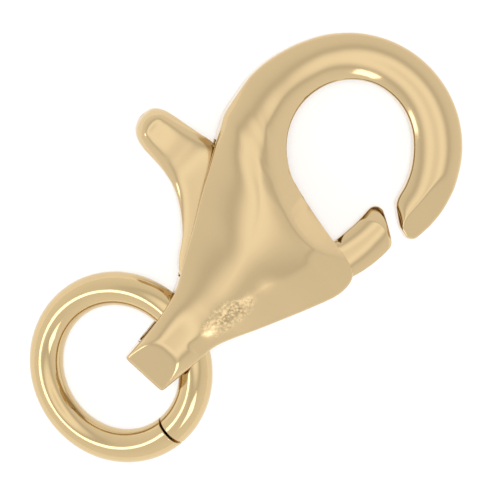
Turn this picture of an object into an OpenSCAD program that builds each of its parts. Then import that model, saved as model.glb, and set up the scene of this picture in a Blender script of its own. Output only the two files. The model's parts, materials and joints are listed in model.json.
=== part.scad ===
// Lobster clasp with a jump ring, lying on its back. Lengths in millimetres.
// The clasp is drawn in its own plane: x runs from the tail end to the hook, y towards the
// thumb tab and z out of the front. at_rest() then leans it the way it lies on a table.

/* [Hook body] */
// Length from the tail end to the far side of the hook
clasp_len = 12; // [11.2:0.1:13.5]
// Outer radius of the hook
hook_r = 3.27; // [3.0:0.01:3.6]
// Radius of the eye inside the hook
eye_r = 1.8; // [1.55:0.01:1.95]
// Thickness of the hook, front to back
hook_t = 1.64; // [1.4:0.02:2.0]
// Thickness of the belly, front to back
belly_t = 3.4; // [3.1:0.05:3.8]
// Distance from the axis to the belly's corner beside the gate
belly_out = 2.6; // [2.4:0.01:2.9]

/* [Tail] */
// Width of the tail at its end
tail_w = 1.4; // [1.2:0.05:1.7]
// Thickness of the tail, front to back
tail_t = 2.0; // [1.9:0.05:2.4]
// Thickness that is left at the tail's end edge
tail_edge = 1.1; // [0.8:0.05:1.4]
// Length of the sloped facet at the tail's end
facet_len = 1.0; // [0.7:0.05:1.3]
// Solid stretch between the tail's end and its eye
tail_bar = 0.62; // [0.5:0.02:0.75]
// Length of the eye through the tail
tail_eye_len = 1.72; // [1.6:0.02:1.8]
// Height of the eye through the tail
tail_eye_h = 1.28; // [1.2:0.02:1.4]
// Radius of the eye's corners
tail_eye_corner = 0.3; // [0.1:0.05:0.4]

/* [Lever] */
// Thickness of the lever where it runs in the slot
lever_t = 1.2; // [1.0:0.02:1.3]
// Thickness of the thumb tab near its end
tab_t = 1.6; // [1.3:0.05:1.9]
// How far the thumb tab rises above the hook's outer radius
tab_rise = 1.76; // [1.2:0.02:2.2]
// Width of the gate
gate_w = 1.18; // [1.0:0.02:1.3]
// Gap between the gate's end and the hook's nose
gate_gap = 0.39; // [0.25:0.01:0.6]
// Gap on each face of the lever inside the slot
lever_gap = 0.06; // [0.03:0.01:0.1]
// How far the lever opens, in degrees
open_angle = 25; // [15:1:26]

/* [Pin] */
// Diameter of the pivot pin
pin_d = 0.8; // [0.6:0.05:0.9]
// Radial gap between the pin and the lever's bore
pin_gap = 0.04; // [0.02:0.01:0.08]

/* [Jump ring] */
// Radius of the jump ring at the middle of its wire
ring_r = 2.31; // [2.2:0.01:2.6]
// Diameter of the ring's wire
wire_d = 0.97; // [0.8:0.01:1.0]
// Width of the cut in the ring
ring_cut = 0.07; // [0.04:0.01:0.15]
// Direction that the ring leans in, in degrees from the clasp's axis
ring_turn = 29.5; // [15:0.5:35]
// Place round the ring, in degrees from its highest point, that the tail holds
ring_slip = 10; // [0:0.5:15]
// Gap between the wire and the end of the tail's eye
wire_gap = 0.18; // [0.12:0.01:0.25]

/* [Hidden] */
gold = "#dcbf8c";
pin_gold = "#c9a870";

// Distance along the axis from the tail's end to the middle of the hook
neck = clasp_len - hook_r;
hook_mid = [neck, 0.05];
pivot = [0.515 * neck, 0.077 * hook_r];
slot_h = lever_t + 2 * lever_gap;
pin_r = pin_d / 2;
wire_r = wire_d / 2;

// Body sections from the tail's end to the belly's corner.
// Places along are shares of the neck. Places out are shares of the way from the tail's half
// width to the hook's radius (left) or to the belly's corner (right). Heights are shares of the
// way from the tail's half thickness to the belly's. Walls are shares of the section's height.
// left along, left out, right along, right out, crest, height, left wall, right wall, round, flat,
// width of the plain flank on the right
BODY = [
    [0.000, 0.000, 0.000, 0.00, 0.50, 0.00, 0.55, 0.55, 0.0, 1.6, 0.0],
    [0.078, 0.010, 0.078, 0.05, 0.49, 0.00, 0.66, 0.66, 0.0, 1.6, 0.0],
    [0.150, 0.022, 0.150, 0.09, 0.49, 0.00, 0.74, 0.74, 0.0, 1.4, 0.0],
    [0.220, 0.055, 0.220, 0.13, 0.48, 0.04, 0.74, 0.74, 0.0, 1.2, 0.1],
    [0.284, 0.112, 0.284, 0.25, 0.48, 0.20, 0.72, 0.72, 0.0, 1.0, 0.5],
    [0.360, 0.250, 0.355, 0.42, 0.49, 0.41, 0.68, 0.68, 0.0, 0.85, 0.85],
    [0.455, 0.410, 0.448, 0.63, 0.46, 0.65, 0.66, 0.63, 0.0, 0.75, 1.0],
    [0.555, 0.595, 0.540, 0.83, 0.42, 0.87, 0.66, 0.60, 0.0, 0.75, 1.14],
    [0.650, 0.757, 0.613, 0.97, 0.37, 0.98, 0.65, 0.60, 0.0, 0.75, 1.25],
    [0.716, 0.872, 0.664, 1.00, 0.32, 1.00, 0.63, 0.64, 0.0, 0.75, 1.42],
    [0.767, 0.953, 0.701, 0.94, 0.29, 0.94, 0.62, 0.72, 0.0, 0.75, 0.8],
    [0.806, 1.016, 0.722, 0.76, 0.28, 0.86, 0.60, 0.85, 0.0, 0.75, 0.25],
];

// Hook sections from the belly's corner to the nose, about the middle of the hook.
// Radii are shares of the hook's and the eye's radius. Heights are shares of the way from the
// hook's half thickness to the belly's, and taper shrinks the nose.
// outer angle, outer radius, inner angle, inner radius, crest, height, outer wall, inner wall,
// round, flat, taper
HOOK = [
    [111.8, 1.097, 214.0, 1.530, 0.30, 0.82, 0.60, 0.92, 0.0, 0.75, 1],
    [106.2, 1.076, 195.5, 1.206, 0.345, 0.76, 0.60, 0.94, 0.05, 0.75, 1],
    [101.2, 1.066, 165.0, 1.035, 0.44, 0.71, 0.60, 0.93, 0.1, 0.75, 1],
    [96.0, 1.058, 138.0, 0.992, 0.54, 0.64, 0.61, 0.90, 0.1, 0.8, 1],
    [88.0, 1.040, 113.0, 0.994, 0.60, 0.53, 0.62, 0.84, 0.15, 0.85, 1],
    [78.0, 1.018, 91.0, 1.008, 0.62, 0.39, 0.64, 0.79, 0.2, 0.9, 1],
    [66.0, 1.003, 71.0, 1.028, 0.60, 0.26, 0.66, 0.76, 0.2, 1, 1],
    [52.0, 1.000, 53.0, 1.055, 0.56, 0.15, 0.68, 0.75, 0.25, 1, 1],
    [36.0, 1.000, 36.0, 1.075, 0.54, 0.06, 0.70, 0.75, 0.25, 1, 1],
    [19.0, 1.000, 19.0, 1.088, 0.53, 0.01, 0.70, 0.75, 0.25, 1, 1],
    [2.0, 1.000, 2.0, 1.080, 0.52, 0.00, 0.70, 0.75, 0.25, 1, 1],
    [-15.0, 1.000, -15.0, 1.068, 0.51, 0.00, 0.70, 0.75, 0.25, 1, 1],
    [-32.0, 1.000, -32.0, 1.050, 0.50, 0.00, 0.70, 0.75, 0.25, 1, 1],
    [-49.0, 0.998, -49.0, 1.038, 0.49, 0.00, 0.70, 0.74, 0.25, 1, 1],
    [-66.0, 0.995, -66.0, 1.055, 0.48, 0.00, 0.70, 0.72, 0.25, 1, 1],
    [-80.0, 0.994, -80.5, 1.086, 0.47, 0.00, 0.68, 0.70, 0.25, 1, 1],
    [-90.0, 0.993, -91.5, 1.120, 0.48, 0.00, 0.69, 0.72, 0.2, 1, 1],
    [-96.5, 0.991, -97.5, 1.185, 0.50, 0.00, 0.68, 0.72, 0.15, 1, 1],
    [-101.6, 0.989, -100.8, 1.300, 0.50, 0.00, 0.66, 0.71, 0.1, 1, 0.98],
    [-104.9, 0.950, -104.6, 1.500, 0.50, 0.00, 0.63, 0.68, 0.1, 1, 0.93],
];

// Crease of the bevel round the hook's eye, on the belly's side: angle about the eye, radius as a
// share of the eye's and height as a share of the belly's half thickness
EYE_CREASE = [
    [84.0, 1.056, 0.568],
    [97.0, 1.128, 0.678],
    [107.0, 1.172, 0.742],
    [116.6, 1.217, 0.795],
    [125.0, 1.228, 0.828],
    [134.6, 1.244, 0.878],
    [145.0, 1.261, 0.908],
    [156.5, 1.283, 0.926],
    [167.0, 1.344, 0.934],
    [177.5, 1.411, 0.913],
    [186.0, 1.500, 0.885],
    [194.0, 1.583, 0.843],
    [206.4, 1.700, 0.766],
    [215.7, 1.722, 0.661],
    [226.0, 1.778, 0.540],
];

// Lever sections from the end of the thumb tab to the belly's corner.
// Places along are shares of the neck. Places out are shares of the hook's radius up to 1 and
// of the tab's rise above it, and shares of the belly's corner where they are negative.
// Thickness goes from the lever's (0) to the tab's (1).
// hook side along, out, tail side along, out, thickness, wall, round, flat, taper, edge band
TAB = [
    [0.642, 1.990, 0.609, 2.000, 1.0, 0.30, 1.0, 1.0, 0.35, 0.00],
    [0.666, 1.930, 0.577, 1.915, 1.0, 0.40, 0.8, 1.3, 0.80, 0.12],
    [0.684, 1.800, 0.557, 1.780, 1.0, 0.50, 0.4, 2.2, 1.00, 0.20],
    [0.693, 1.600, 0.547, 1.590, 1.0, 0.55, 0.3, 2.4, 1.00, 0.21],
    [0.699, 1.370, 0.543, 1.340, 0.8, 0.60, 0.3, 2.4, 1.00, 0.21],
    [0.707, 1.100, 0.536, 1.090, 0.4, 0.66, 0.3, 2.4, 1.00, 0.17],
    [0.714, 0.925, 0.519, 0.900, 0.05, 0.74, 0.4, 2.2, 1.00, 0.08],
    [0.712, 0.760, 0.481, 0.735, 0.0, 0.85, 0.4, 2.0, 1.00, 0.0],
    [0.700, 0.590, 0.424, 0.572, 0.0, 0.92, 0.3, 2.0, 1.00, 0.0],
    [0.686, 0.430, 0.361, 0.457, 0.0, 0.92, 0.3, 2.0, 1.00, 0.0],
    [0.671, 0.275, 0.323, 0.345, 0.0, 0.92, 0.3, 2.0, 1.00, 0.0],
    [0.660, 0.120, 0.319, 0.210, 0.0, 0.92, 0.3, 2.0, 1.00, 0.0],
    [0.656, 0.000, 0.344, 0.060, 0.0, 0.92, 0.3, 2.0, 1.00, 0.0],
    [0.659, -0.150, 0.384, -0.135, 0.0, 0.92, 0.3, 2.0, 1.00, 0.0],
    [0.669, -0.300, 0.447, -0.365, 0.0, 0.92, 0.3, 2.0, 1.00, 0.0],
    [0.686, -0.420, 0.527, -0.577, 0.0, 0.90, 0.3, 2.0, 1.00, 0.0],
    [0.709, -0.512, 0.605, -0.770, 0.0, 0.85, 0.35, 1.8, 1.00, 0.0],
];

// Gate sections from the belly's corner to the end of the gate.
// Places along are shares of the gate's length, places across are shares of its half width.
// hook side along, across, tail side along, across, wall, round, flat, taper
GATE = [
    [0.280, 1.050, 0.030, -0.700, 0.74, 0.2, 1.4, 1.00],
    [0.484, 1.030, 0.256, -0.920, 0.68, 0.1, 1.2, 1.00],
    [0.689, 1.040, 0.500, -1.000, 0.66, 0.1, 1.1, 1.00],
    [0.868, 1.100, 0.700, -0.990, 0.66, 0.1, 1.0, 1.00],
    [0.995, 1.130, 0.821, -0.940, 0.66, 0.1, 1.0, 1.00],
    [1.080, 0.960, 0.884, -0.820, 0.66, 0.1, 1.0, 0.99],
    [1.108, 0.680, 0.925, -0.620, 0.66, 0.1, 1.0, 0.97],
];

// How steep the flank, the edge bands, the eye's bevel and the drop at the gate's end are
flank_slope = 0.42;
band_slope = 0.75;
eye_slope = 0.75;
gate_slope = 0.45;

// Slices between two rows of a table, and steps over one face of a section
body_steps = [3, 18];
lever_steps = [2, 10];

function mix(a, b, t) = a + t * (b - a);
function polar(centre, r, a) = centre + r * [cos(a), sin(a)];
function bend(p, q, r, s, t) =
    0.5 * (2 * q + (r - p) * t + (2 * p - 5 * q + 4 * r - s) * t * t
        + (3 * q - p - 3 * r + s) * t * t * t);
// A smooth run of slices through every row
function slices(rows, steps) = [
    for (i = [0 : len(rows) - 2], j = [0 : steps - 1])
        bend(rows[max(i - 1, 0)], rows[i], rows[i + 1], rows[min(i + 2, len(rows) - 1)],
            j / steps),
    rows[len(rows) - 1]
];

// A slice is [left x, left y, right x, right y, crest, height, left wall, right wall, round, flat,
// left band, right band, 0 on the body and 1 on the lever]
function body_slice(r) = [
    r[0] * neck, mix(tail_w / 2, hook_r, r[1]),
    r[2] * neck, -mix(tail_w / 2, belly_out, r[3]),
    r[4], mix(tail_t, belly_t, r[5]) / 2, r[6], r[7], r[8], r[9],
    0, r[10], 0
];
function hook_slice(r) =
    let (o = polar(hook_mid, r[1] * hook_r, r[0]), i = polar(hook_mid, r[3] * eye_r, r[2]))
    [
        o.x, o.y, i.x, i.y, r[4], r[10] * mix(hook_t, belly_t, r[5]) / 2, r[6], r[7], r[8], r[9],
        0, 0, 0
    ];
function lever_out(s) =
    s > 1 ? hook_r + (s - 1) * tab_rise : s >= 0 ? s * hook_r : s * belly_out;
function tab_slice(r) = [
    r[0] * neck, lever_out(r[1]), r[2] * neck, lever_out(r[3]),
    0.5, r[8] * mix(lever_t, tab_t, r[4]) / 2, r[5], r[5], r[6], r[7],
    r[9], r[9], 1
];
function gate_slice(r) =
    let (h = gate_place(r[0], r[1]), t = gate_place(r[2], r[3]))
    [h.x, h.y, t.x, t.y, 0.5, r[7] * lever_t / 2, r[4], r[4], r[5], r[6], 0, 0, 1];

// The gate runs from its root beside the belly's corner to a gap short of the hook's nose
nose_reach = 1.345;
nose_angle = -102.2;
nose = polar(hook_mid, nose_reach * eye_r, nose_angle);
gate_root = [0.676 * neck, -0.777 * belly_out];
gate_way = (nose - gate_root) / norm(nose - gate_root);
gate_len = norm(nose - gate_root) - gate_gap;
function gate_place(along, across) =
    gate_root + along * gate_len * gate_way + across * gate_w / 2 * [-gate_way.y, gate_way.x];

body_slices = slices(
    concat([for (r = BODY) body_slice(r)], [for (r = HOOK) hook_slice(r)]), body_steps[0]);
lever_slices = slices(
    concat([for (r = TAB) tab_slice(r)], [for (r = GATE) gate_slice(r)]), lever_steps[0]);

// Height of a face above its walls, from 0 at an edge to 1 at the crest, where c is 0
function dome(c, round, flat) =
    (1 - round) * (1 - pow(abs(c), 2 * flat)) + round * sqrt(max(0, 1 - c * c));
function domed(s, t, c) = mix(s[5] * mix(s[6], s[7], t), s[5], dome(c, s[8], s[9]));
// The c of a place that is a share t of the way over the face
function place_c(crest, t) =
    let (k = crest - 0.5, left = k + 0.5 - t) 2 * left / (0.5 + sqrt(0.25 + 4 * k * left));
// The lower of two heights, with the crease between them eased
crease_ease = 0.1;
function eased(a, b) =
    let (share = min(max(0.5 + 0.5 * (b - a) / crease_ease, 0), 1))
    mix(b, a, share) - crease_ease * share * (1 - share);
// A plain band from a crease down to an edge, where inward is the distance from that edge
function banded(s, crest, t, band, inward) =
    band < 0.01 ? belly_t
        : domed(s, t, place_c(crest, t))
            + (inward - band) * mix(flank_slope, band_slope, s[12]);

// The bevel round the hook's eye
function eye_bevel(x, y) =
    let (
        p = [x, y] - hook_mid,
        turn = atan2(p.y, p.x),
        angle = turn < 0 ? turn + 360 : turn
    )
    angle < EYE_CREASE[0][0] || angle > EYE_CREASE[len(EYE_CREASE) - 1][0] ? belly_t
        : lookup(angle, [for (r = EYE_CREASE) [r[0], r[2]]]) * belly_t / 2 + eye_slope
            * (norm(p) - lookup(angle, [for (r = EYE_CREASE) [r[0], r[1]]]) * eye_r);
// The flank's plane goes straight on where the outline turns round the belly's corner
corner_from = 0.64;
corner_height = 0.454;
function corner_flank(x, y) =
    x < corner_from * neck ? belly_t
        : corner_height * belly_t / 2 + flank_slope * (y + belly_out);
// How far the face drops past the rounded crease at the gate's end. The crease is an arc about a
// place on the gate's middle line, and only the lever past crease_from has it.
crease_from = 0.75;
crease_mid = 0.59;
crease_r = 1.14;
function gate_drop(x, y) =
    x < crease_from * neck ? 0
        : gate_slope * max(0, norm([x, y] - gate_place(crease_mid, 0)) - crease_r * gate_w / 2);

// The front's crest is where the tables put it. The back's crest is a share of the width.
back_crest = 0.45;
function face_point(s, a, side) =
    let (
        crest = side > 0 ? s[4] : back_crest,
        c = cos(a),
        t = (1 - c) / 2 + (crest - 0.5) * (1 - c * c),
        width = norm([s[2] - s[0], s[3] - s[1]]),
        x = mix(s[0], s[2], t),
        y = mix(s[1], s[3], t),
        face = eased(
            domed(s, t, c),
            min(
                banded(s, crest, s[10] / width, s[10], t * width),
                banded(s, crest, 1 - s[11] / width, s[11], (1 - t) * width)
            )
        )
    )
    [
        x,
        y,
        side * (s[12] > 0.5 ? face - gate_drop(x, y)
            : eased(face, min(eye_bevel(x, y), corner_flank(x, y))))
    ];
function loop(s, n) = concat(
    [for (k = [0 : n]) face_point(s, 180 * k / n, 1)],
    [for (k = [n : -1 : 0]) face_point(s, 180 * k / n, -1)]
);
function all_points(list, n) = [for (s = list) each loop(s, n)];

// A solid that follows a list of slices
module follow(list, face_steps) {
    n = 2 * (face_steps + 1);
    last = (len(list) - 1) * n;
    polyhedron(
        points = all_points(list, face_steps),
        faces = concat(
            [[for (k = [0 : n - 1]) k]],
            [[for (k = [n - 1 : -1 : 0]) last + k]],
            [
                for (i = [0 : len(list) - 2], k = [0 : n - 1])
                    let (a = i * n + k, b = i * n + (k + 1) % n)
                    each [[a, a + n, b + n], [a, b + n, b]]
            ]
        )
    );
}

// The clasp lies on the back of its belly and on its ring, with the hook tipped down.
// Its lowest point at this lean, in degrees, gives how far it is lifted onto the table.
lean = 6;
lift = max([
    for (p = all_points(body_slices, body_steps[1])) p.x * sin(lean) - p.z * cos(lean)
]);
function leaned(p) = [
    p.x * cos(lean) + p.z * sin(lean), p.y, p.z * cos(lean) - p.x * sin(lean) + lift
];

// The ring passes through the tail's eye and lies with its far side on the table
wire_x = tail_bar + tail_eye_len - wire_r - wire_gap;
wire_y = -0.1 * tail_w;
held = leaned([wire_x, wire_y, 0]);
ring_lean = asin((held.z - wire_r) / (ring_r * (1 + cos(ring_slip))));
function turned(x, y) = [
    x * cos(ring_lean) * cos(ring_turn) + y * sin(ring_turn),
    y * cos(ring_turn) - x * cos(ring_lean) * sin(ring_turn),
    x * sin(ring_lean)
];
ring_mid = held - ring_r * turned(cos(ring_slip), sin(ring_slip));
// Where the cut is, in degrees round the ring from its highest point
cut_at = -67;
cut_turn = 2 * asin(ring_cut / 2 / ring_r);

// The middle of the whole outline becomes the origin
outline = concat(
    [for (p = all_points(body_slices, body_steps[1])) leaned(p)],
    [for (p = all_points(lever_slices, lever_steps[1])) leaned(p)],
    [for (a = [0 : 5 : 355]) ring_mid + ring_r * turned(cos(a), sin(a)) - [wire_r, 0, 0]]
);
function middle(i) =
    let (c = [for (p = outline) p[i]]) (min(c) + max(c)) / 2;
shift = [-middle(0), -middle(1), 0];

// The clasp's own frame, leaned and set down on the table
module at_rest() {
    translate(shift + [0, 0, lift]) rotate([0, lean, 0]) children();
}

// A straight cut through front and back, over an outline in the clasp's plane
module plate(height) {
    translate([0, 0, -height / 2]) linear_extrude(height) children();
}

// The slot leaves the lever room from closed to open. Its tail end is an arc about the pin.
heel_start = 206;
heel_end = 121 + open_angle;
heel_r = max([
    for (s = lever_slices) if (s[3] > 0 && s[3] < 0.5 * hook_r) norm([s[2], s[3]] - pivot)
]) + lever_gap;
far = clasp_len;
module slot_outline() {
    polygon(concat(
        [
            [0.725 * neck, far],
            [0.725 * neck, 0.80 * hook_r],
            [0.715 * neck, 0.55 * hook_r],
            [0.699 * neck, 0.36 * hook_r],
            [0.690 * neck, 0.20 * hook_r],
            [0.704 * neck, 0.05 * hook_r],
            [0.740 * neck, -0.05 * belly_out],
            [0.780 * neck, -0.10 * belly_out],
            [0.900 * neck, -0.10 * belly_out],
            [0.900 * neck, -far],
            [0.640 * neck, -far],
            [0.640 * neck, -0.975 * belly_out],
            [0.580 * neck, -0.850 * belly_out],
            [0.505 * neck, -0.695 * belly_out],
            [0.400 * neck, -0.440 * belly_out]
        ],
        [for (k = [0 : 10]) polar(pivot, heel_r, mix(heel_start, heel_end, k / 10))],
        [polar(pivot, heel_r, heel_end) + [0, far]]
    ));
}

module slot() {
    plate(slot_h) slot_outline();
}

// Hole with rounded corners, straight through the tail from side to side
module tail_eye() {
    through = 4 * tail_w;
    r = tail_eye_corner;
    middle_x = tail_bar + tail_eye_len / 2;
    reach_x = tail_eye_len / 2 - r;
    reach_z = tail_eye_h / 2 - r;
    for (i = [-1, 1], j = [-1, 1])
        translate([middle_x + i * reach_x, 0, j * reach_z]) rotate([90, 0, 0])
            cylinder(r = r, h = through, center = true, $fn = 48);
    translate([middle_x, 0, 0]) {
        cube([tail_eye_len, through, 2 * reach_z], center = true);
        cube([2 * reach_x, through, tail_eye_h], center = true);
    }
}

// The sloped facets at the tail's end, front and back
module tail_facets() {
    slope = atan((tail_t - tail_edge) / 2 / facet_len);
    for (side = [0, 1])
        mirror([0, 0, side])
            translate([0, -tail_w, tail_edge / 2]) rotate([0, -slope, 0])
                translate([-tail_t, 0, 0]) cube([tail_t + 2 * facet_len, 2 * tail_w, tail_t]);
}

// The pin goes in from the back and stops under the front face
pin_back = -0.85 * belly_t / 2;
pin_front = slot_h / 2 + 0.55 * (belly_t - slot_h) / 2;
press_gap = 0.015;

module hook_body() {
    color(gold) at_rest() difference() {
        follow(body_slices, body_steps[1]);
        tail_facets();
        tail_eye();
        slot();
        translate([pivot.x, pivot.y, -belly_t])
            cylinder(r = pin_r + press_gap, h = belly_t + pin_front + press_gap, $fn = 48);
    }
}

module trigger_lever() {
    color(gold) at_rest() difference() {
        follow(lever_slices, lever_steps[1]);
        translate([pivot.x, pivot.y, -lever_t])
            cylinder(r = pin_r + pin_gap, h = 2 * lever_t, $fn = 48);
    }
}

module pivot_pin() {
    color(pin_gold) at_rest() translate([pivot.x, pivot.y, pin_back])
        cylinder(r = pin_r, h = pin_front - pin_back, $fn = 48);
}

module jump_ring() {
    color(gold) translate(shift + ring_mid) rotate([0, 0, -ring_turn]) rotate([0, -ring_lean, 0])
        rotate([0, 0, cut_at + cut_turn / 2])
            rotate_extrude(angle = 360 - cut_turn, $fn = 96)
                translate([ring_r, 0]) circle(r = wire_r, $fn = 32);
}

hook_body();
trigger_lever();
pivot_pin();
jump_ring();
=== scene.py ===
"""Finished looks for a small gold-plated lobster clasp with its jump ring, lying on its back."""

import json
import math

import bmesh
import bpy
import numpy as np
from bpy.props import FloatProperty, FloatVectorProperty, PointerProperty
from mathutils import Matrix, Vector


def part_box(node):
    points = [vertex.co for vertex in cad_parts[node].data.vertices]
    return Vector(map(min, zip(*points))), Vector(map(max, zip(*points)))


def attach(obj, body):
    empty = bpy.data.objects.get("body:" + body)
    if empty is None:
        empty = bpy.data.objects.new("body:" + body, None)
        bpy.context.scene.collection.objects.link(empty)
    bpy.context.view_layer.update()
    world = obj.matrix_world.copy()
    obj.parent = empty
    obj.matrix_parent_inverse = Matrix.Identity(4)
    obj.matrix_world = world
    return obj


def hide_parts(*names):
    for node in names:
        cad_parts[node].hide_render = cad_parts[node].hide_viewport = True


bl_info = {
    "name": "Lobster Clasp",
    "version": (1, 0, 0),
    "blender": (4, 5, 0),
    "location": "3D Viewport > Sidebar > Clasp",
    "description": "Builds the looks of a gold-plated lobster clasp and jump ring",
    "category": "Object",
}

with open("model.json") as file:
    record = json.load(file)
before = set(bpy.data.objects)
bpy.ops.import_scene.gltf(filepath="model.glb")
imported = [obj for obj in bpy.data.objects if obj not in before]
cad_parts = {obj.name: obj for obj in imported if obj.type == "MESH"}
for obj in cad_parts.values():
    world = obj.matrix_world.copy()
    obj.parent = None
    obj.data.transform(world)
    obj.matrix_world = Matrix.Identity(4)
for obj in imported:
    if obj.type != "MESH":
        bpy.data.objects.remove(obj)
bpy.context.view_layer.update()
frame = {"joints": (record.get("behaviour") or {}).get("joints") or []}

MM = 0.001

# Sizes of the CAD source, in millimetres and degrees
CLASP_LEN, HOOK_R, EYE_R, HOOK_T, BELLY_T, BELLY_OUT = 12.0, 3.27, 1.8, 1.64, 3.4, 2.6
TAIL_W, TAIL_T, TAIL_EDGE, FACET_LEN = 1.4, 2.0, 1.1, 1.0
TAIL_BAR, EYE_LEN, EYE_H, EYE_CORNER = 0.62, 1.72, 1.28, 0.3
LEVER_T, TAB_T, TAB_RISE, GATE_W, GATE_GAP = 1.2, 1.6, 1.76, 1.18, 0.39
SLOT_H, HEEL_START, HEEL_END = 1.32, 206, 146
PIN_R, BORE_R, SEAT_R, PIN_BACK, PIN_FRONT = 0.4, 0.44, 0.415, -1.445, 1.232
RING_R, WIRE_R, RING_CUT, CUT_AT, RING_TURN = 2.31, 0.485, 0.07, -67.0, 29.5

# Forms of the CAD source: the back's crest as a share of the width, how steep the flank, the
# edge bands, the eye's bevel and the gate's end are, where the flank's plane goes on round the
# belly's corner and how high it starts, the place that the gate closes on, and the rounded crease
# at the gate's end
BACK_CREST = 0.45
FLANK_SLOPE, BAND_SLOPE, EYE_SLOPE, GATE_SLOPE = 0.42, 0.75, 0.75, 0.45
CORNER_FROM, CORNER_HEIGHT = 0.64, 0.454
NOSE_REACH, NOSE_ANGLE = 1.345, -102.2
CREASE_FROM, CREASE_MID, CREASE_R = 0.75, 0.59, 1.14

# What only the visual model has. The back is a hair thinner than the front, so that the fine mesh
# of its crest stays off the table. The slot's heel end lies this far behind the lever's heel.
BACK_SHARE = 0.9955
HEEL_GAP = 0.045
# Samples over a face, points round the corners and the ends of a loft, and the height over which
# the crease of an edge band is rounded
FACE_SAMPLES, LIP_POINTS, END_POINTS = 600, 6, 8
BAND_BLEND = 0.02

NECK = CLASP_LEN - HOOK_R
HOOK_MID = np.array([NECK, 0.05])
PIVOT = np.array([0.515 * NECK, 0.077 * HOOK_R])

# Body sections from the tail's end to the belly's corner, in shares of the sizes above:
# left along, left out, right along, right out, crest, height, left wall, right wall, round, flat,
# width of the plain flank on the right
BODY = [
    [0.000, 0.000, 0.000, 0.00, 0.50, 0.00, 0.55, 0.55, 0.0, 1.6, 0.0],
    [0.078, 0.010, 0.078, 0.05, 0.49, 0.00, 0.66, 0.66, 0.0, 1.6, 0.0],
    [0.150, 0.022, 0.150, 0.09, 0.49, 0.00, 0.74, 0.74, 0.0, 1.4, 0.0],
    [0.220, 0.055, 0.220, 0.13, 0.48, 0.04, 0.74, 0.74, 0.0, 1.2, 0.1],
    [0.284, 0.112, 0.284, 0.25, 0.48, 0.20, 0.72, 0.72, 0.0, 1.0, 0.5],
    [0.360, 0.250, 0.355, 0.42, 0.49, 0.41, 0.68, 0.68, 0.0, 0.85, 0.85],
    [0.455, 0.410, 0.448, 0.63, 0.46, 0.65, 0.66, 0.63, 0.0, 0.75, 1.0],
    [0.555, 0.595, 0.540, 0.83, 0.42, 0.87, 0.66, 0.60, 0.0, 0.75, 1.14],
    [0.650, 0.757, 0.613, 0.97, 0.37, 0.98, 0.65, 0.60, 0.0, 0.75, 1.25],
    [0.716, 0.872, 0.664, 1.00, 0.32, 1.00, 0.63, 0.64, 0.0, 0.75, 1.42],
    [0.767, 0.953, 0.701, 0.94, 0.29, 0.94, 0.62, 0.72, 0.0, 0.75, 0.8],
    [0.806, 1.016, 0.722, 0.76, 0.28, 0.86, 0.60, 0.85, 0.0, 0.75, 0.25],
]

# Hook sections from the belly's corner to the nose:
# outer angle, outer radius, inner angle, inner radius, crest, height, outer wall, inner wall,
# round, flat, taper
HOOK = [
    [111.8, 1.097, 214.0, 1.530, 0.30, 0.82, 0.60, 0.92, 0.0, 0.75, 1],
    [106.2, 1.076, 195.5, 1.206, 0.345, 0.76, 0.60, 0.94, 0.05, 0.75, 1],
    [101.2, 1.066, 165.0, 1.035, 0.44, 0.71, 0.60, 0.93, 0.1, 0.75, 1],
    [96.0, 1.058, 138.0, 0.992, 0.54, 0.64, 0.61, 0.90, 0.1, 0.8, 1],
    [88.0, 1.040, 113.0, 0.994, 0.60, 0.53, 0.62, 0.84, 0.15, 0.85, 1],
    [78.0, 1.018, 91.0, 1.008, 0.62, 0.39, 0.64, 0.79, 0.2, 0.9, 1],
    [66.0, 1.003, 71.0, 1.028, 0.60, 0.26, 0.66, 0.76, 0.2, 1, 1],
    [52.0, 1.000, 53.0, 1.055, 0.56, 0.15, 0.68, 0.75, 0.25, 1, 1],
    [36.0, 1.000, 36.0, 1.075, 0.54, 0.06, 0.70, 0.75, 0.25, 1, 1],
    [19.0, 1.000, 19.0, 1.088, 0.53, 0.01, 0.70, 0.75, 0.25, 1, 1],
    [2.0, 1.000, 2.0, 1.080, 0.52, 0.00, 0.70, 0.75, 0.25, 1, 1],
    [-15.0, 1.000, -15.0, 1.068, 0.51, 0.00, 0.70, 0.75, 0.25, 1, 1],
    [-32.0, 1.000, -32.0, 1.050, 0.50, 0.00, 0.70, 0.75, 0.25, 1, 1],
    [-49.0, 0.998, -49.0, 1.038, 0.49, 0.00, 0.70, 0.74, 0.25, 1, 1],
    [-66.0, 0.995, -66.0, 1.055, 0.48, 0.00, 0.70, 0.72, 0.25, 1, 1],
    [-80.0, 0.994, -80.5, 1.086, 0.47, 0.00, 0.68, 0.70, 0.25, 1, 1],
    [-90.0, 0.993, -91.5, 1.120, 0.48, 0.00, 0.69, 0.72, 0.2, 1, 1],
    [-96.5, 0.991, -97.5, 1.185, 0.50, 0.00, 0.68, 0.72, 0.15, 1, 1],
    [-101.6, 0.989, -100.8, 1.300, 0.50, 0.00, 0.66, 0.71, 0.1, 1, 0.98],
    [-104.9, 0.950, -104.6, 1.500, 0.50, 0.00, 0.63, 0.68, 0.1, 1, 0.93],
]

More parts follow.
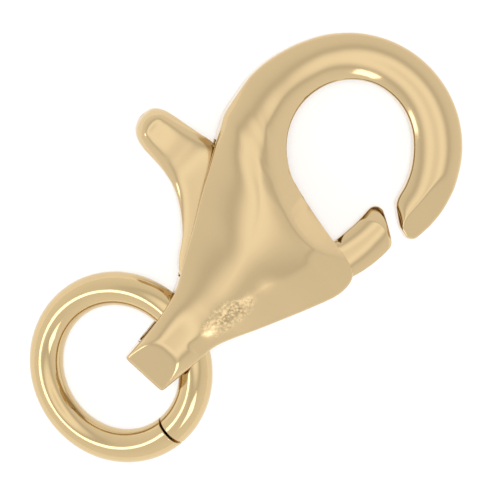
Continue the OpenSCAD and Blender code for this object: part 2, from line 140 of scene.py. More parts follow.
# Lever sections from the end of the thumb tab to the belly's corner:
# hook side along, out, tail side along, out, thickness, wall, round, flat, taper, edge band
TAB = [
    [0.642, 1.990, 0.609, 2.000, 1.0, 0.30, 1.0, 1.0, 0.35, 0.00],
    [0.666, 1.930, 0.577, 1.915, 1.0, 0.40, 0.8, 1.3, 0.80, 0.12],
    [0.684, 1.800, 0.557, 1.780, 1.0, 0.50, 0.4, 2.2, 1.00, 0.20],
    [0.693, 1.600, 0.547, 1.590, 1.0, 0.55, 0.3, 2.4, 1.00, 0.21],
    [0.699, 1.370, 0.543, 1.340, 0.8, 0.60, 0.3, 2.4, 1.00, 0.21],
    [0.707, 1.100, 0.536, 1.090, 0.4, 0.66, 0.3, 2.4, 1.00, 0.17],
    [0.714, 0.925, 0.519, 0.900, 0.05, 0.74, 0.4, 2.2, 1.00, 0.08],
    [0.712, 0.760, 0.481, 0.735, 0.0, 0.85, 0.4, 2.0, 1.00, 0.0],
    [0.700, 0.590, 0.424, 0.572, 0.0, 0.92, 0.3, 2.0, 1.00, 0.0],
    [0.686, 0.430, 0.361, 0.457, 0.0, 0.92, 0.3, 2.0, 1.00, 0.0],
    [0.671, 0.275, 0.323, 0.345, 0.0, 0.92, 0.3, 2.0, 1.00, 0.0],
    [0.660, 0.120, 0.319, 0.210, 0.0, 0.92, 0.3, 2.0, 1.00, 0.0],
    [0.656, 0.000, 0.344, 0.060, 0.0, 0.92, 0.3, 2.0, 1.00, 0.0],
    [0.659, -0.150, 0.384, -0.135, 0.0, 0.92, 0.3, 2.0, 1.00, 0.0],
    [0.669, -0.300, 0.447, -0.365, 0.0, 0.92, 0.3, 2.0, 1.00, 0.0],
    [0.686, -0.420, 0.527, -0.577, 0.0, 0.90, 0.3, 2.0, 1.00, 0.0],
    [0.709, -0.512, 0.605, -0.770, 0.0, 0.85, 0.35, 1.8, 1.00, 0.0],
]

# Gate sections from the belly's corner to the end of the gate:
# hook side along, across, tail side along, across, wall, round, flat, taper
GATE = [
    [0.280, 1.050, 0.030, -0.700, 0.74, 0.2, 1.4, 1.00],
    [0.484, 1.030, 0.256, -0.920, 0.68, 0.1, 1.2, 1.00],
    [0.689, 1.040, 0.500, -1.000, 0.66, 0.1, 1.1, 1.00],
    [0.868, 1.100, 0.700, -0.990, 0.66, 0.1, 1.0, 1.00],
    [0.995, 1.130, 0.821, -0.940, 0.66, 0.1, 1.0, 1.00],
    [1.080, 0.960, 0.884, -0.820, 0.66, 0.1, 1.0, 0.99],
    [1.108, 0.680, 0.925, -0.620, 0.66, 0.1, 1.0, 0.97],
]

# Crease of the bevel round the hook's eye: angle about the eye, radius as a share of the eye's
# and height as a share of the belly's half thickness
EYE_CREASE = [
    [84.0, 1.056, 0.568], [97.0, 1.128, 0.678], [107.0, 1.172, 0.742], [116.6, 1.217, 0.795],
    [125.0, 1.228, 0.828], [134.6, 1.244, 0.878], [145.0, 1.261, 0.908], [156.5, 1.283, 0.926],
    [167.0, 1.344, 0.934], [177.5, 1.411, 0.913], [186.0, 1.500, 0.885], [194.0, 1.583, 0.843],
    [206.4, 1.700, 0.766], [215.7, 1.722, 0.661], [226.0, 1.778, 0.540],
]


def mix(a, b, t):
    """From a towards b by the share t."""
    return a + t * (b - a)


def polar(centre, radius, degrees):
    """The point at a distance and an angle from a centre."""
    a = math.radians(degrees)
    return np.asarray(centre) + radius * np.array([math.cos(a), math.sin(a)])


def soft_min(a, b, blend):
    """The lower of two heights, with the step between them rounded over a height of blend."""
    share = np.clip(0.5 + 0.5 * (b - a) / blend, 0, 1)
    return mix(b, a, share) - blend * share * (1 - share)


def table_row(rows, place):
    """The section at any place along a table, on a smooth curve through its rows."""
    i = min(int(place), len(rows) - 2)
    p, q, r, s = (rows[min(max(k, 0), len(rows) - 1)] for k in (i - 1, i, i + 1, i + 2))
    t = place - i
    return 0.5 * (2 * q + (r - p) * t + (2 * p - 5 * q + 4 * r - s) * t * t
                  + (3 * q - p - 3 * r + s) * t ** 3)


def body_rows():
    """The body's and the hook's sections in millimetres, from the tail's end to the nose: left x,
    left y, right x, right y, crest, height, left wall, right wall, round, flat, left band, right
    band."""
    rows = [
        [r[0] * NECK, mix(TAIL_W / 2, HOOK_R, r[1]), r[2] * NECK, -mix(TAIL_W / 2, BELLY_OUT, r[3]),
         r[4], mix(TAIL_T, BELLY_T, r[5]) / 2, *r[6:10], 0, r[10]] for r in BODY]
    for r in HOOK:
        outer, inner = polar(HOOK_MID, r[1] * HOOK_R, r[0]), polar(HOOK_MID, r[3] * EYE_R, r[2])
        rows.append([*outer, *inner, r[4], r[10] * mix(HOOK_T, BELLY_T, r[5]) / 2, *r[6:10], 0, 0])
    return [np.array(r, float) for r in rows]


def lever_out(share):
    """How far out a share of the tab's table lies from the clasp's axis."""
    if share > 1:
        return HOOK_R + (share - 1) * TAB_RISE
    return share * (HOOK_R if share >= 0 else BELLY_OUT)


NOSE = polar(HOOK_MID, NOSE_REACH * EYE_R, NOSE_ANGLE)
GATE_ROOT = np.array([0.676 * NECK, -0.777 * BELLY_OUT])
GATE_WAY = (NOSE - GATE_ROOT) / np.linalg.norm(NOSE - GATE_ROOT)
GATE_SIDE = np.array([-GATE_WAY[1], GATE_WAY[0]])
GATE_LEN = np.linalg.norm(NOSE - GATE_ROOT) - GATE_GAP


def gate_place(along, across):
    """A place on the gate, in shares of its length and of half its width."""
    return GATE_ROOT + along * GATE_LEN * GATE_WAY + across * GATE_W / 2 * GATE_SIDE


def lever_rows():
    """The tab's and the gate's sections in millimetres, in the order that body_rows gives."""
    rows = [
        [r[0] * NECK, lever_out(r[1]), r[2] * NECK, lever_out(r[3]), 0.5,
         r[8] * mix(LEVER_T, TAB_T, r[4]) / 2, r[5], r[5], r[6], r[7], r[9], r[9]] for r in TAB]
    rows += [
        [*gate_place(r[0], r[1]), *gate_place(r[2], r[3]), 0.5,
         r[7] * LEVER_T / 2, r[4], r[4], r[5], r[6], 0, 0] for r in GATE]
    return [np.array(r, float) for r in rows]


def face_line(s, crest, lip, steps, slope, facets, drop):
    """Points over one face of a section, from low on its left wall to low on its right wall,
    with the corner between wall and face rounded over a length of lip. The section's bands rise
    inwards by slope. Each of the facets is a height that the face stays under and how softly it
    meets it, and drop is how far the face then sinks."""
    a = np.linspace(0, math.pi, FACE_SAMPLES)
    t = (1 - np.cos(a)) / 2 + (crest - 0.5) * np.sin(a) ** 2
    dome = (1 - s[8]) * (1 - np.abs(np.cos(a)) ** (2 * s[9])) + s[8] * np.sin(a)
    x, y = mix(s[0], s[2], t), mix(s[1], s[3], t)
    z = mix(s[5] * mix(s[6], s[7], t), s[5], dome)
    width = math.hypot(s[2] - s[0], s[3] - s[1])
    domed = z
    for band, inward in ((s[10], t * width), (s[11], (1 - t) * width)):
        if band > 0.01:
            order = np.argsort(inward)
            crease = np.interp(band, inward[order], domed[order])
            z = soft_min(z, crease + (inward - band) * slope, BAND_BLEND)
    for facet, blend in facets:
        z = soft_min(z, facet(x, y), blend)
    z = z - drop(x, y)
    line = np.column_stack([x, y, z])
    run = np.concatenate([[0], np.cumsum(np.linalg.norm(np.diff(line, axis=0), axis=1))])
    # Where a face is narrow or a wall is low, the rounding gets smaller
    lip = min(lip, 0.3 * run[-1], 0.6 * z[0], 0.6 * z[-1])

    def at(distance):
        return np.array([np.interp(distance, run, line[:, k]) for k in range(3)]).T

    u = np.linspace(0, 1, LIP_POINTS)[:, None]
    corners = []
    for corner, inside in ((line[0], at(lip)), (line[-1], at(run[-1] - lip))):
        low = corner - [0, 0, lip]
        corners.append((1 - u) ** 2 * low + 2 * u * (1 - u) * corner + u ** 2 * inside)
    middle = at(np.linspace(lip, run[-1] - lip, steps + 1)[1:-1])
    return np.vstack([corners[0], middle, corners[1][::-1]])


def no_drop(x, y):
    """A face that sinks nowhere."""
    return 0


def loft(name, rows, per_row, steps, lip, ends, slope, facets=(), drop=no_drop):
    """A closed mesh through the sections of a table, per_row slices to a row, with both ends
    rounded off. For either end, ends gives the rounding's length and its share of a row. The rest
    is as in face_line."""
    near, far = ends
    last = len(rows) - 1
    places = [p for p in np.arange(0, last, 1 / per_row) if near[1] < p < last - far[1]]
    turn = np.linspace(0, math.pi / 2, END_POINTS)
    first = [(near[1] * (1 - math.cos(b)), near[0] * (1 - math.sin(b))) for b in turn]
    final = [(last - far[1] * (1 - math.cos(b)), far[0] * (1 - math.sin(b))) for b in turn[::-1]]
    loops = []
    for place, inset in first + [(p, 0) for p in places] + final:
        s = table_row(rows, place)
        front = face_line(s, s[4], lip, steps, slope, facets, drop)
        back = face_line(s, BACK_CREST, lip, steps, slope, facets, drop) * [1, 1, -BACK_SHARE]
        line = np.vstack([front, back[::-1]])
        if inset:
            mid = np.array([(s[0] + s[2]) / 2, (s[1] + s[3]) / 2])
            half = np.linalg.norm(s[:2] - s[2:4]) / 2
            line[:, :2] = mid + (line[:, :2] - mid) * (1 - inset / half)
            line[:, 2] *= 1 - inset / line[:, 2].max()
        loops.append(line)
    return tube(name, loops)


def tube(name, loops):
    """A closed mesh along loops of as many points each, with a flat face over either end."""
    n, last = len(loops[0]), (len(loops) - 1) * len(loops[0])
    faces = [tuple(range(n)), tuple(range(last, last + n))[::-1]]
    for start in range(0, last, n):
        for k in range(n):
            a, b = start + k, start + (k + 1) % n
            faces.append((a, a + n, b + n, b))
    return new_mesh(name, [point for loop in loops for point in loop], faces)


def new_mesh(name, points, faces):
    """An object in the scene with a mesh whose faces look outwards."""
    mesh = bpy.data.meshes.new(name)
    mesh.from_pydata([tuple(p) for p in points], [], faces)
    bm = bmesh.new()
    bm.from_mesh(mesh)
    bmesh.ops.recalc_face_normals(bm, faces=bm.faces)
    bm.to_mesh(mesh)
    bm.free()
    obj = bpy.data.objects.new(name, mesh)
    bpy.context.scene.collection.objects.link(obj)
    return obj


def prism(name, outline, height):
    """A straight-sided cutter over an outline, centred on the clasp's own plane."""
    return tube(name, [[(x, y, side * height / 2) for x, y in outline] for side in (-1, 1)])


def round_bar(name, middle, radius, low, high, sides=96):
    """A cylinder cutter that stands across the clasp's plane."""
    ring = [polar(middle, radius, 360 * k / sides) for k in range(sides)]
    bar = prism(name, ring, high - low)
    bar.data.transform(Matrix.Translation((0, 0, (high + low) / 2)))
    return bar


def cut(obj, *cutters):
    """Takes the cutters away from a mesh and throws them away."""
    for cutter in cutters:
        step = obj.modifiers.new("Cut", "BOOLEAN")
        step.operation, step.solver, step.object = "DIFFERENCE", "EXACT", cutter
        bake_modifiers(obj)
        bpy.data.objects.remove(cutter)


def bake_modifiers(obj):
    """Makes what the modifiers give the object's own mesh."""
    bpy.context.view_layer.update()
    seen = obj.evaluated_get(bpy.context.evaluated_depsgraph_get())
    mesh = bpy.data.meshes.new_from_object(seen)
    obj.modifiers.clear()
    old, obj.data = obj.data, mesh
    bpy.data.meshes.remove(old)


def ease_edges(obj, width, wanted, sharper_than=40):
    """Rounds the sharp edges whose two ends both pass the test wanted."""
    bm = bmesh.new()
    bm.from_mesh(obj.data)
    bmesh.ops.remove_doubles(bm, verts=bm.verts, dist=1e-5)
    bmesh.ops.dissolve_degenerate(bm, edges=bm.edges, dist=1e-5)
    edges = [
        e for e in bm.edges
        if e.is_manifold and e.calc_face_angle(0) > math.radians(sharper_than)
        and all(wanted(v.co) for v in e.verts)]
    bmesh.ops.bevel(bm, geom=edges, offset=width, offset_type="OFFSET", segments=2,
                    profile=0.5, affect="EDGES", clamp_overlap=False)
    bm.to_mesh(obj.data)
    bm.free()


def finish_mesh(obj, smooth_below=32):
    """Smooth shading that keeps real creases, with flat faces kept flat."""
    mesh = obj.data
    mesh.polygons.foreach_set("use_smooth", np.ones(len(mesh.polygons), bool))
    mesh.set_sharp_from_angle(angle=math.radians(smooth_below))
    step = obj.modifiers.new("Normals", "WEIGHTED_NORMAL")
    step.keep_sharp = True
    bake_modifiers(obj)


def at_rest():
    """From the clasp's own frame, in millimetres, to where the hinge puts the clasp."""
    hinge = frame["joints"][0]
    lean = math.atan2(hinge["axis"][0], hinge["axis"][2])
    return (Matrix.Translation(Vector(hinge["pos_m"])) @ Matrix.Rotation(lean, 4, "Y")
            @ Matrix.Scale(MM, 4) @ Matrix.Translation((-PIVOT[0], -PIVOT[1], 0)))


# The patch of casting pits, low on the belly's flank near the tail: its middle, its half sizes,
# the way that it runs and how rough it is next to the smooth casting
PITS = at_rest() @ Vector((2.86, -0.63, 1.1))
PIT_PATCH = Vector((0.74, 0.33, 1)) * MM
PIT_TURN = -15
CAST_ROUGHNESS, PIT_ROUGHNESS = 0.14, 0.42


def linear(hex_colour):
    """An sRGB hex colour as the linear values that shaders use."""
    parts = [int(hex_colour[i:i + 2], 16) / 255 for i in (1, 3, 5)]
    return [c / 12.92 if c <= 0.04045 else ((c + 0.055) / 1.055) ** 2.4 for c in parts]


def add(tree, kind, links=None, **settings):
    """Adds a node, sets its properties and sockets, and links its inputs."""
    node = tree.nodes.new(kind)
    for name, value in settings.items():
        if hasattr(node, name):
            setattr(node, name, value)
        else:
            node.inputs[name.replace("_", " ")].default_value = value
    for socket, source in (links or {}).items():
        tree.links.new(source, node.inputs[socket])
    return node


def new_material(name, **shader):
    """A material with one Principled surface, its node tree and that surface's node."""
    material = bpy.data.materials.new(name)
    material.use_nodes = True
    tree = material.node_tree
    tree.nodes.clear()
    surface = add(tree, "ShaderNodeBsdfPrincipled", **shader)
    add(tree, "ShaderNodeOutputMaterial", {"Surface": surface.outputs[0]})
    return material, tree, surface


def blotches(tree, where, size, detail=2.0):
    """A noise pattern whose blots are about size millimetres wide."""
    noise = add(tree, "ShaderNodeTexNoise", {"Vector": where}, Scale=1 / (size * MM),
                Detail=detail)
    return noise.outputs["Fac"]


def relief(tree, pattern, deep, strength, under=None):
    """A bump that is deep millimetres from its low to its high places, on top of the bump under.
    The strength is a number or a pattern."""
    bump = add(tree, "ShaderNodeBump", {"Height": pattern}, Distance=deep * MM)
    if under is not None:
        tree.links.new(under, bump.inputs["Normal"])
    if isinstance(strength, float):
        bump.inputs["Strength"].default_value = strength
    else:
        tree.links.new(strength, bump.inputs["Strength"])
    return bump.outputs[0]


def between(tree, factor, low, high):
    """A colour between two others, which are linear values or the outputs of nodes."""
    mixed = add(tree, "ShaderNodeMix", {"Factor": factor}, data_type="RGBA")
    for socket, colour in ((mixed.inputs[6], low), (mixed.inputs[7], high)):
        if isinstance(colour, list):
            socket.default_value = (*colour, 1)
        else:
            tree.links.new(colour, socket)
    return mixed.outputs[2]


def shade(colour, share):
    """A colour made darker or brighter by a share."""
    return [min(1, c * share) for c in colour]


def tinted(tree, surface, colour, factor, spread):
    """Varies the colour by spread, down and up, with a pattern."""
    tint = between(tree, factor, shade(colour, 1 - spread), shade(colour, 1 + spread))
    tree.links.new(tint, surface.inputs["Base Color"])
    return tint


def gold_plate(name, colour, pits=None):
    """Cast brass, tumbled smooth and plated in light champagne gold: a bright soft mirror with a
    faint swell left by the polishing. Casting pits show through round the place pits."""
    material, tree, surface = new_material(name, Metallic=1.0, Roughness=CAST_ROUGHNESS)
    where = add(tree, "ShaderNodeTexCoord").outputs["Object"]
    tint = tinted(tree, surface, colour, blotches(tree, where, 2.5), 0.03)
    swell = relief(tree, blotches(tree, where, 1.6, 1.0), 0.02, 0.5)
    fine = relief(tree, blotches(tree, where, 0.12), 0.001, 0.3, swell)
    tree.links.new(fine, surface.inputs["Normal"])
    if pits is not None:
        cast_pits(tree, surface, where, pits, colour, tint, fine)
    return material


def cast_pits(tree, surface, where, pits, colour, tint, fine):
    """A ragged patch of shallow pits: rough, with painted shade darkening their bottoms and a
    painted highlight lightening the ground between.
    """
    patch = add(tree, "ShaderNodeMapping", {"Vector": where}, vector_type="TEXTURE",
                Location=pits, Rotation=(0, 0, math.radians(PIT_TURN)), Scale=PIT_PATCH)
    away = add(tree, "ShaderNodeVectorMath", {0: patch.outputs[0]}, operation="LENGTH")
    ragged = add(tree, "ShaderNodeMath",
                 {0: blotches(tree, where, 0.4), 2: away.outputs["Value"]},
                 operation="MULTIPLY_ADD")
    ragged.inputs[1].default_value = 1.6
    amount = add(tree, "ShaderNodeMapRange", {"Value": ragged.outputs[0]},
                 From_Min=1.25, From_Max=2.1, To_Min=1.0, To_Max=0.0).outputs[0]
    rough = add(tree, "ShaderNodeMapRange", {"Value": amount},
                To_Min=CAST_ROUGHNESS, To_Max=PIT_ROUGHNESS)
    tree.links.new(rough.outputs[0], surface.inputs["Roughness"])
    grains = blotches(tree, where, 0.085, 3.0)
    tree.links.new(relief(tree, grains, 0.006, amount, fine), surface.inputs["Normal"])
    height = add(tree, "ShaderNodeMapRange", {"Value": grains}, From_Min=0.4, From_Max=0.62)
    # Painted shade and highlight: the low grain in the pits is painted darker as shade, and the
    # high grain between is painted lighter as a highlight
    pit_shade_and_highlight = between(tree, height.outputs[0], shade(colour, 0.55), shade(colour, 1.1))
    tree.links.new(between(tree, amount, tint, pit_shade_and_highlight), surface.inputs["Base Color"])


def drawn_gold_wire(colour):
    """Drawn brass wire, bent round and plated: brighter and smoother than the casting."""
    material, tree, surface = new_material("plated_drawn_wire", Metallic=1.0, Roughness=0.1)
    where = add(tree, "ShaderNodeTexCoord").outputs["Object"]
    tinted(tree, surface, colour, blotches(tree, where, 0.6), 0.03)
    swell = relief(tree, blotches(tree, where, 0.9, 1.0), 0.01, 0.4)
    tree.links.new(swell, surface.inputs["Normal"])
    return material


def pin_brass(colour):
    """Cut brass pin stock: plain brass with fine turning marks round it."""
    material, tree, surface = new_material("cut_brass_pin", Metallic=1.0, Roughness=0.24)
    where = add(tree, "ShaderNodeTexCoord").outputs["Object"]
    tinted(tree, surface, colour, blotches(tree, where, 0.25), 0.06)
    marks = add(tree, "ShaderNodeTexWave", {"Vector": where}, wave_type="BANDS",
                bands_direction="Z", Scale=1 / (0.25 * MM), Distortion=0.4)
    turned = relief(tree, marks.outputs["Fac"], 0.003, 0.4)
    tree.links.new(turned, surface.inputs["Normal"])
    return material


def opal_sheet(colour):
    """Matt opal acrylic sheet, faintly lit from below like a light table."""
    material, tree, surface = new_material(
        "matt_opal_sheet", Roughness=0.9, Emission_Color=(1, 1, 1, 1), Emission_Strength=0.48)
    where = add(tree, "ShaderNodeTexCoord").outputs["Object"]
    tinted(tree, surface, colour, blotches(tree, where, 40), 0.01)
    return material


class ClaspLooks(bpy.types.PropertyGroup):
    """Sizes and colours that a user would change."""

    lip: FloatProperty(
        name="Edge Rounding", description="Rounding between the walls and the faces",
        default=0.065 * MM, unit="LENGTH", precision=5)
    lever_lip: FloatProperty(
        name="Lever Edge Rounding", description="Rounding between the lever's walls and faces",
        default=0.025 * MM, unit="LENGTH", precision=5)
    mouth: FloatProperty(
        name="Slot Edge Rounding", description="Rounding of the slot's and the eye's mouths",
        default=0.03 * MM, unit="LENGTH", precision=5)
    gold: FloatVectorProperty(
        name="Gold Plate", description="Colour of the plated castings", subtype="COLOR",
        size=3, min=0, max=1, default=linear("#ccb48a"))
    wire: FloatVectorProperty(
        name="Plated Wire", description="Colour of the plated ring", subtype="COLOR",
        size=3, min=0, max=1, default=linear("#ccb488"))
    brass: FloatVectorProperty(
        name="Pin Brass", description="Colour of the pin", subtype="COLOR",
        size=3, min=0, max=1, default=linear("#c9a870"))
    table: FloatVectorProperty(
        name="Table", description="Colour of the table", subtype="COLOR",
        size=3, min=0, max=1, default=linear("#b4b3b2"))
    view_width: FloatProperty(
        name="View Width", description="Width that the camera sees at the clasp",
        default=14.286 * MM, unit="LENGTH", precision=5)
    view_far: FloatProperty(
        name="Camera Distance", description="From the camera to the clasp",
        default=280 * MM, unit="LENGTH", precision=3)


def tail_facet(x, y):
    """Height of the sloped facet at the tail's end."""
    return TAIL_EDGE / 2 + (TAIL_T - TAIL_EDGE) / 2 / FACET_LEN * x


def eye_bevel(x, y):
    """Height of the bevel that runs round the belly's side of the hook's eye."""
    dx, dy = x - HOOK_MID[0], y - HOOK_MID[1]
    angle = np.degrees(np.arctan2(dy, dx)) % 360
    angles, radii, heights = np.array(EYE_CREASE).T
    crease = np.interp(angle, angles, radii) * EYE_R
    height = np.interp(angle, angles, heights) * BELLY_T / 2
    near = (angle > angles[0]) & (angle < angles[-1])
    return np.where(near, height + EYE_SLOPE * (np.hypot(dx, dy) - crease), BELLY_T)


def corner_flank(x, y):
    """Height of the flank's plane where the outline turns round the belly's corner."""
    plane = CORNER_HEIGHT * BELLY_T / 2 + FLANK_SLOPE * (y + BELLY_OUT)
    return np.where(x > CORNER_FROM * NECK, plane, BELLY_T)


def gate_drop(x, y):
    """How far the lever's face drops past the rounded crease at the gate's end."""
    middle = gate_place(CREASE_MID, 0)
    past = np.hypot(x - middle[0], y - middle[1]) - CREASE_R * GATE_W / 2
    return np.where(x > CREASE_FROM * NECK, GATE_SLOPE * np.maximum(past, 0), 0)


def slot_outline():
    """The outline of the slot that the lever moves in, open at the tab's and the gate's side.
    Its heel end is an arc about the pin, just clear of the lever's heel."""
    rows = lever_rows()
    sections = [table_row(rows, place) for place in np.arange(0, len(rows) - 1, 0.5)]
    heel = HEEL_GAP + max(
        np.linalg.norm(s[2:4] - PIVOT) for s in sections if 0 < s[3] < 0.5 * HOOK_R)
    n, h, b, far = NECK, HOOK_R, BELLY_OUT, CLASP_LEN
    line = [
        (0.725 * n, far), (0.725 * n, 0.80 * h), (0.715 * n, 0.55 * h), (0.699 * n, 0.36 * h),
        (0.690 * n, 0.20 * h), (0.704 * n, 0.05 * h), (0.740 * n, -0.05 * b),
        (0.780 * n, -0.10 * b), (0.900 * n, -0.10 * b), (0.900 * n, -far), (0.640 * n, -far),
        (0.640 * n, -0.975 * b), (0.580 * n, -0.850 * b), (0.505 * n, -0.695 * b),
        (0.400 * n, -0.440 * b)]
    line += [tuple(polar(PIVOT, heel, a)) for a in range(HEEL_START, HEEL_END - 1, -3)]
    return line + [tuple(polar(PIVOT, heel, HEEL_END) + [0, far])]


def tail_eye():
    """The cutter of the eye through the tail: a bar with rounded corners, from side to side."""
    half, tall = EYE_LEN / 2, EYE_H / 2
    line = []
    for i, j, start in ((1, 1, 0), (-1, 1, 90), (-1, -1, 180), (1, -1, 270)):
        middle = (TAIL_BAR + half + i * (half - EYE_CORNER), j * (tall - EYE_CORNER))
        line += [tuple(polar(middle, EYE_CORNER, start + a)) for a in range(0, 91, 9)]
    bar = prism("tail_eye_cutter", line, 2 * TAIL_W + 2)
    bar.data.transform(Matrix.Rotation(math.radians(90), 4, "X"))
    return bar


class CLASP_OT_hook_body(bpy.types.Operator):
    """Builds the cast body: tail, domed belly and hook"""

    bl_idname = "clasp.hook_body"
    bl_label = "Hook Body"

    def execute(self, context):
        looks = context.scene.clasp_looks
        facets = [(tail_facet, 0.06), (corner_flank, 0.03), (eye_bevel, 0.05)]
        body = loft("hook_body_cast", body_rows(), per_row=10, steps=60, lip=looks.lip / MM,
                    ends=((0.12, 0.17), (0.06, 0.5)), slope=FLANK_SLOPE, facets=facets)
        seat = round_bar("pin_seat_cutter", PIVOT, SEAT_R, -BELLY_T, PIN_FRONT + SEAT_R - PIN_R)
        cut(body, prism("slot_cutter", slot_outline(), SLOT_H), tail_eye(), seat)

        def at_mouth(p):
            """Whether a point, in millimetres, is on the mouth of the tail's eye, or on that of the
            slot short of the gate's root."""
            at_pin = math.hypot(p.x - PIVOT[0], p.y - PIVOT[1]) < PIN_R + 0.1
            at_eye = 0.3 < p.x < 2.6
            at_slot = abs(abs(p.z) - SLOT_H / 2) < 0.01 and p.x < 8.2
            return not at_pin and (at_eye or at_slot)

        ease_edges(body, looks.mouth / MM, at_mouth)
        finish_mesh(body)
        body.data.transform(at_rest())
        body.data.materials.append(gold_plate("champagne_gold_body", looks.gold, PITS))
        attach(body, "clasp")
        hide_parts("hook_body")
        return {"FINISHED"}


class CLASP_OT_trigger_lever(bpy.types.Operator):
    """Builds the lever: thumb tab, heel and gate"""

    bl_idname = "clasp.trigger_lever"
    bl_label = "Trigger Lever"

    def execute(self, context):
        looks = context.scene.clasp_looks
        lever = loft("trigger_lever_cast", lever_rows(), per_row=10, steps=48,
                     lip=looks.lever_lip / MM, ends=((0.1, 0.7), (0.03, 0.3)), slope=BAND_SLOPE,
                     drop=gate_drop)
        cut(lever, round_bar("bore_cutter", PIVOT, BORE_R, -LEVER_T, LEVER_T))
        finish_mesh(lever)
        lever.data.transform(at_rest())
        lever.data.materials.append(gold_plate("champagne_gold_lever", looks.gold))
        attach(lever, "lever")
        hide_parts("trigger_lever")
        return {"FINISHED"}


class CLASP_OT_pivot_pin(bpy.types.Operator):
    """Builds the pin that the lever turns on"""

    bl_idname = "clasp.pivot_pin"
    bl_label = "Pivot Pin"

    def execute(self, context):
        looks = context.scene.clasp_looks
        # Rounding of the pin's ends, and sides of the pin
        ease, sides = 0.05, 96
        half = [(PIN_R - ease + ease * math.sin(a), ease - ease * math.cos(a))
                for a in np.linspace(0, math.pi / 2, 5)]
        shape = [(r, PIN_BACK + z) for r, z in half]
        shape += [(r, PIN_FRONT - z) for r, z in half[::-1]]
        pin = tube("pivot_pin_turned", [
            [(*polar(PIVOT, r, 360 * k / sides), z) for k in range(sides)] for r, z in shape])
        finish_mesh(pin)
        pin.data.transform(at_rest())
        pin.data.materials.append(pin_brass(looks.brass))
        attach(pin, "clasp")
        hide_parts("pivot_pin")
        return {"FINISHED"}


class CLASP_OT_jump_ring(bpy.types.Operator):
    """Builds the cut wire ring that hangs in the tail's eye"""

    bl_idname = "clasp.jump_ring"
    bl_label = "Jump Ring"

    def execute(self, context):
        looks = context.scene.clasp_looks
        low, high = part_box("jump_ring")
        middle = (low + high) / 2
        lean = math.asin(((high.z - low.z) / 2 / MM - WIRE_R) / RING_R)
        half_cut = math.degrees(math.asin(RING_CUT / 2 / RING_R))
        # Sections round the ring, sides of the wire and rounding of its cut ends
        around, sides, ease = 260, 48, 0.035
        ease_turn = math.degrees(ease / RING_R)
        start, end = CUT_AT + half_cut, CUT_AT + 360 - half_cut
        turns = [(start + ease_turn * (1 - math.cos(b)), ease * (1 - math.sin(b)))
                 for b in np.linspace(0, math.pi / 2, 5)]
        turns += [(a, 0) for a in np.linspace(start + ease_turn, end - ease_turn, around)[1:-1]]
        turns += [(end - ease_turn * (1 - math.cos(b)), ease * (1 - math.sin(b)))
                  for b in np.linspace(math.pi / 2, 0, 5)]
        loops = []
        for turn, inset in turns:
            way = polar((0, 0), 1, turn)
            section = [polar((RING_R, 0), WIRE_R - inset, 360 * k / sides) for k in range(sides)]
            loops.append([(way[0] * out, way[1] * out, up) for out, up in section])
        ring = tube("jump_ring_wire", loops)
        finish_mesh(ring, 50)
        ring.data.transform(
            Matrix.Translation(middle) @ Matrix.Rotation(math.radians(-RING_TURN), 4, "Z")
            @ Matrix.Rotation(-lean, 4, "Y") @ Matrix.Scale(MM, 4))
        ring.data.materials.append(drawn_gold_wire(looks.wire))
        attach(ring, "clasp")
        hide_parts("jump_ring")
        return {"FINISHED"}


# The photograph's view: straight down but for six degrees, with the hook to the upper right
VIEW_WAY = Vector((0.0893, 0.0499, 0.9947)).normalized()
VIEW_AT = Vector((0.192, -0.790, 1.837)) * MM
HOOK_HEADING = math.radians(47.5)
VIEW_RIGHT = Vector((math.cos(HOOK_HEADING), -math.sin(HOOK_HEADING), 0))

# The round table's radius and the sides of its polygon
TABLE_R, TABLE_SIDES = 1.5, 128
# Sides of the square light over the clasp, how far off it is and how bright
OVERHEAD_SIDE, OVERHEAD_FAR, OVERHEAD_BRIGHT = 0.1, 0.6, 67
# Small lights low round the clasp, and how far off they are: name, degrees round from the
# picture's right, degrees down from the view's line, width, height and how bright
LOW_FAR = 0.3
LOW_LIGHTS = (
    ("front_soft_light", -84, 46, 0.11, 0.085, 2.2),
    ("left_soft_light", -158, 50, 0.07, 0.09, 2.3),
)


def studio_world(scene):
    """A white light tent: a dim opening over the clasp, bright cloth round it and a seam lower."""
    world = bpy.data.worlds.new("light_tent")
    scene.world = world
    world.use_nodes = True
    tree = world.node_tree
    tree.nodes.clear()
    spot = add(tree, "ShaderNodeTexCoord")
    height = add(tree, "ShaderNodeVectorMath", {0: spot.outputs["Generated"]},
                 operation="DOT_PRODUCT")
    height.inputs[1].default_value = VIEW_WAY
    steps = add(tree, "ShaderNodeMapRange", {"Value": height.outputs["Value"]},
                From_Min=-1.0, From_Max=1.0)
    cloth = add(tree, "ShaderNodeValToRGB", {"Fac": steps.outputs[0]})
    ramp = cloth.color_ramp
    ramp.interpolation = "B_SPLINE"
    # Angle from the view's line in degrees, and how bright the cloth is there
    stops = [(180, 1.1), (92, 1.13), (75, 1.13), (60, 1.07), (46, 1.04), (39, 0.86), (33, 0.82),
             (28, 1.12), (21, 1.44), (12, 1.44), (6, 1.25), (0, 1.2)]
    brightest = max(light for _, light in stops)
    while len(ramp.elements) < len(stops):
        ramp.elements.new(0.5)
    for element, (degrees, light) in zip(ramp.elements, stops):
        element.position = (math.cos(math.radians(degrees)) + 1) / 2
        element.color = (*[light / brightest] * 3, 1)
    back = add(tree, "ShaderNodeBackground", {"Color": cloth.outputs[0]}, Strength=brightest)
    add(tree, "ShaderNodeOutputWorld", {"Surface": back.outputs[0]})


def soft_light(name, way, distance, wide, tall, bright, scene):
    """A rectangular soft light that faces the clasp. Its surface is bright times as bright as a
    white table in full light."""
    lamp = bpy.data.lights.new(name, "AREA")
    lamp.shape, lamp.size, lamp.size_y = "RECTANGLE", wide, tall
    lamp.energy = math.pi * wide * tall * bright
    obj = bpy.data.objects.new(name, lamp)
    obj.location = VIEW_AT + way.normalized() * distance
    obj.rotation_euler = way.to_track_quat("Z", "Y").to_euler()
    scene.collection.objects.link(obj)
    return obj


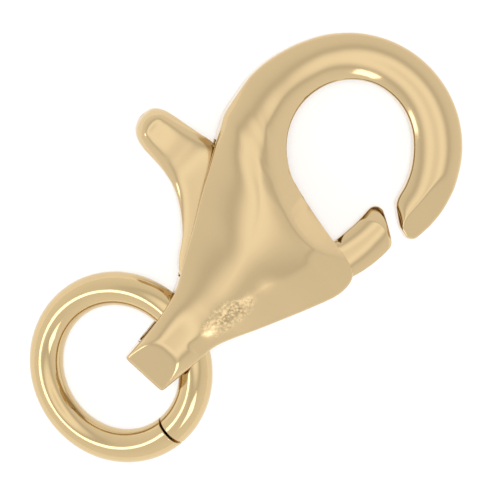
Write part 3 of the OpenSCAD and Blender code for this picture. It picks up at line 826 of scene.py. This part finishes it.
class CLASP_OT_stage(bpy.types.Operator):
    """Builds the table, the lights and the camera"""

    bl_idname = "clasp.stage"
    bl_label = "Stage"

    def execute(self, context):
        scene = context.scene
        looks = scene.clasp_looks
        scene.view_settings.view_transform = "Standard"
        studio_world(scene)

        rim = [polar((0, 0), TABLE_R, 360 * k / TABLE_SIDES) for k in range(TABLE_SIDES)]
        table = new_mesh("table", [(x, y, 0) for x, y in rim], [tuple(range(TABLE_SIDES))])
        if table.data.polygons[0].normal.z < 0:
            table.data.flip_normals()
        table.data.materials.append(opal_sheet(looks.table))

        right = (VIEW_RIGHT - VIEW_RIGHT.dot(VIEW_WAY) * VIEW_WAY).normalized()
        over = VIEW_WAY.cross(right)
        fill = soft_light("overhead_soft_light", VIEW_WAY, OVERHEAD_FAR, OVERHEAD_SIDE,
                          OVERHEAD_SIDE, OVERHEAD_BRIGHT, scene)
        fill.visible_glossy = False
        for name, around, down, wide, tall, bright in LOW_LIGHTS:
            a, b = math.radians(around), math.radians(down)
            way = math.sin(b) * (math.cos(a) * right + math.sin(a) * over) + math.cos(b) * VIEW_WAY
            soft_light(name, way, LOW_FAR, wide, tall, bright, scene)

        camera_data = bpy.data.cameras.new("camera")
        camera_data.lens = camera_data.sensor_width * looks.view_far / looks.view_width
        camera_data.clip_start, camera_data.clip_end = 0.01, 20
        camera = bpy.data.objects.new("camera", camera_data)
        place = Matrix((right, over, VIEW_WAY)).transposed().to_4x4()
        place.translation = VIEW_AT + VIEW_WAY * looks.view_far
        camera.matrix_world = place
        scene.collection.objects.link(camera)
        scene.camera = camera
        return {"FINISHED"}


class CLASP_PT_panel(bpy.types.Panel):
    """The clasp's pieces and settings"""

    bl_idname = "CLASP_PT_panel"
    bl_label = "Lobster Clasp"
    bl_space_type = "VIEW_3D"
    bl_region_type = "UI"
    bl_category = "Clasp"

    def draw(self, context):
        looks = context.scene.clasp_looks
        for name in looks.__annotations__:
            self.layout.prop(looks, name)
        for operator in OPERATORS:
            self.layout.operator(operator.bl_idname)


OPERATORS = (
    CLASP_OT_hook_body, CLASP_OT_trigger_lever, CLASP_OT_pivot_pin, CLASP_OT_jump_ring,
    CLASP_OT_stage)
CLASSES = (ClaspLooks, *OPERATORS, CLASP_PT_panel)


def register():
    for cls in CLASSES:
        bpy.utils.register_class(cls)
    bpy.types.Scene.clasp_looks = PointerProperty(type=ClaspLooks)


def unregister():
    del bpy.types.Scene.clasp_looks
    for cls in reversed(CLASSES):
        bpy.utils.unregister_class(cls)


def main():
    register()
    bpy.ops.clasp.hook_body()
    bpy.ops.clasp.trigger_lever()
    bpy.ops.clasp.pivot_pin()
    bpy.ops.clasp.jump_ring()
    bpy.ops.clasp.stage()
    bpy.context.view_layer.update()


if __name__ == "__main__":
    main()
